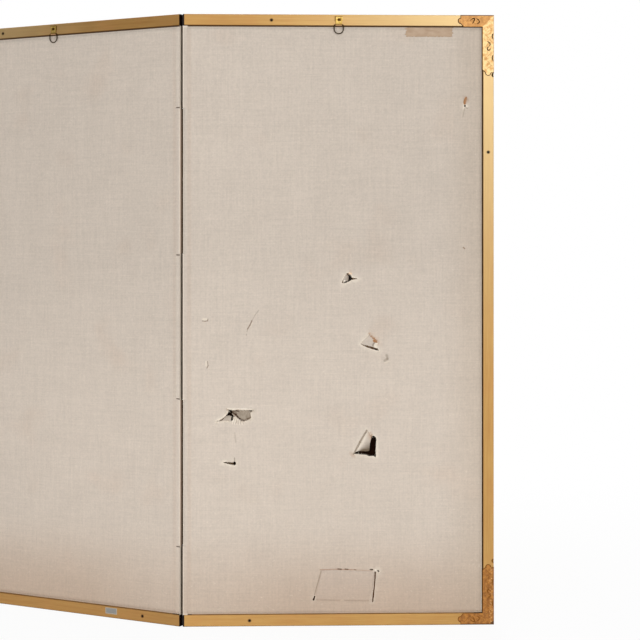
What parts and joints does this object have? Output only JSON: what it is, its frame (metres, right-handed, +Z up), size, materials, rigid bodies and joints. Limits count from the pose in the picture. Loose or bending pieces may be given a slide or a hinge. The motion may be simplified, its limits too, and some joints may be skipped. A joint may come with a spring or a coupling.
{
  "type": "two-panel painted folding screen",
  "caption": "Two-panel folding screen standing half open: gilt frame with corner fittings, cloth-covered back, painted front, paper hinge, hanging rings.",
  "frame": {"origin": "on the floor, under the middle of the bounding box of the screen as it stands half open", "axes": "+Z up; the cloth-covered back of the right panel faces -Y and the painted front +Y; +X along the right panel, away from the fold"},
  "size_m": [1.6258, 0.4554, 1.7004],
  "materials": {
    "gilt_lacquer": "satin gold lacquer",
    "cedar": "bare sawn wood",
    "hemp_cloth": "slubbed plain weave",
    "mulberry_paper": "matt",
    "painted_paper": "gold leaf and mineral colours",
    "brocade": "woven silk",
    "border_silk": "woven silk",
    "gilt_copper": "engraved and gilt, worn",
    "iron": "dark and rusted",
    "brass": "satin",
    "ring_brass": "tarnished",
    "hinge_paper": "brown, matt",
    "old_tape": "aged",
    "label_paper": "blank, matt"
  },
  "bodies": {
    "right_panel": {"top_rail_right": "gilt_lacquer", "bottom_rail_right": "gilt_lacquer", "outer_stile_right": "gilt_lacquer", "core_top_rail_right": "cedar", "core_bottom_rail_right": "cedar", "core_hinge_stile_right": "cedar", "core_outer_stile_right": "cedar", "lattice_uprights_right": "cedar", "lattice_crossbars_right": "cedar", "back_cloth_right": "hemp_cloth", "back_underpaper_right": "mulberry_paper", "front_underpaper_right": "mulberry_paper", "wide_border_right": "brocade", "narrow_border_right": "border_silk", "painting_sheet_right": "painted_paper", "corner_fitting_top_right": "gilt_copper", "corner_fitting_bottom_right": "gilt_copper", "fitting_pins_right": "gilt_copper", "frame_nails_right": "iron", "hidden_nails_right": "iron", "hanger_strap_right": "brass", "hanger_screw_right": "brass", "hinge_strip_1_right": "hinge_paper", "hinge_strip_2_right": "hinge_paper", "hinge_strip_3_right": "hinge_paper", "hinge_strip_4_right": "hinge_paper", "hinge_strip_5_right": "hinge_paper", "repair_patch": "hemp_cloth", "tape_strip": "old_tape"},
    "left_panel": {"top_rail_left": "gilt_lacquer", "bottom_rail_left": "gilt_lacquer", "outer_stile_left": "gilt_lacquer", "core_top_rail_left": "cedar", "core_bottom_rail_left": "cedar", "core_hinge_stile_left": "cedar", "core_outer_stile_left": "cedar", "lattice_uprights_left": "cedar", "lattice_crossbars_left": "cedar", "back_cloth_left": "hemp_cloth", "back_underpaper_left": "mulberry_paper", "front_underpaper_left": "mulberry_paper", "wide_border_left": "brocade", "narrow_border_left": "border_silk", "painting_sheet_left": "painted_paper", "corner_fitting_top_left": "gilt_copper", "corner_fitting_bottom_left": "gilt_copper", "fitting_pins_left": "gilt_copper", "frame_nails_left": "iron", "hidden_nails_left": "iron", "hanger_strap_left": "brass", "hanger_screw_left": "brass", "hinge_strip_1_left": "hinge_paper", "hinge_strip_2_left": "hinge_paper", "hinge_strip_3_left": "hinge_paper", "hinge_strip_4_left": "hinge_paper", "hinge_strip_5_left": "hinge_paper", "paper_label": "label_paper"},
    "right_ring": {"hanger_ring_right": "ring_brass"},
    "left_ring": {"hanger_ring_left": "ring_brass"}
  },
  "joints": [
    {"name": "fold", "type": "hinge", "parent": "right_panel", "child": "left_panel", "pos_m": [-0.05348, -0.20513, 0], "axis": [0, 0, -1], "range_deg": [-30, 150]},
    {"name": "right_ring_swing", "type": "hinge", "parent": "right_panel", "child": "right_ring", "pos_m": [0.37953, -0.22533, 1.671], "axis": [-1, 0, 0], "range_deg": [-5, 170]},
    {"name": "left_ring_swing", "type": "hinge", "parent": "left_panel", "child": "left_ring", "pos_m": [-0.43856, -0.00612, 1.671], "axis": [-0.866, 0.5, 0], "range_deg": [-5, 170]}
  ]
}
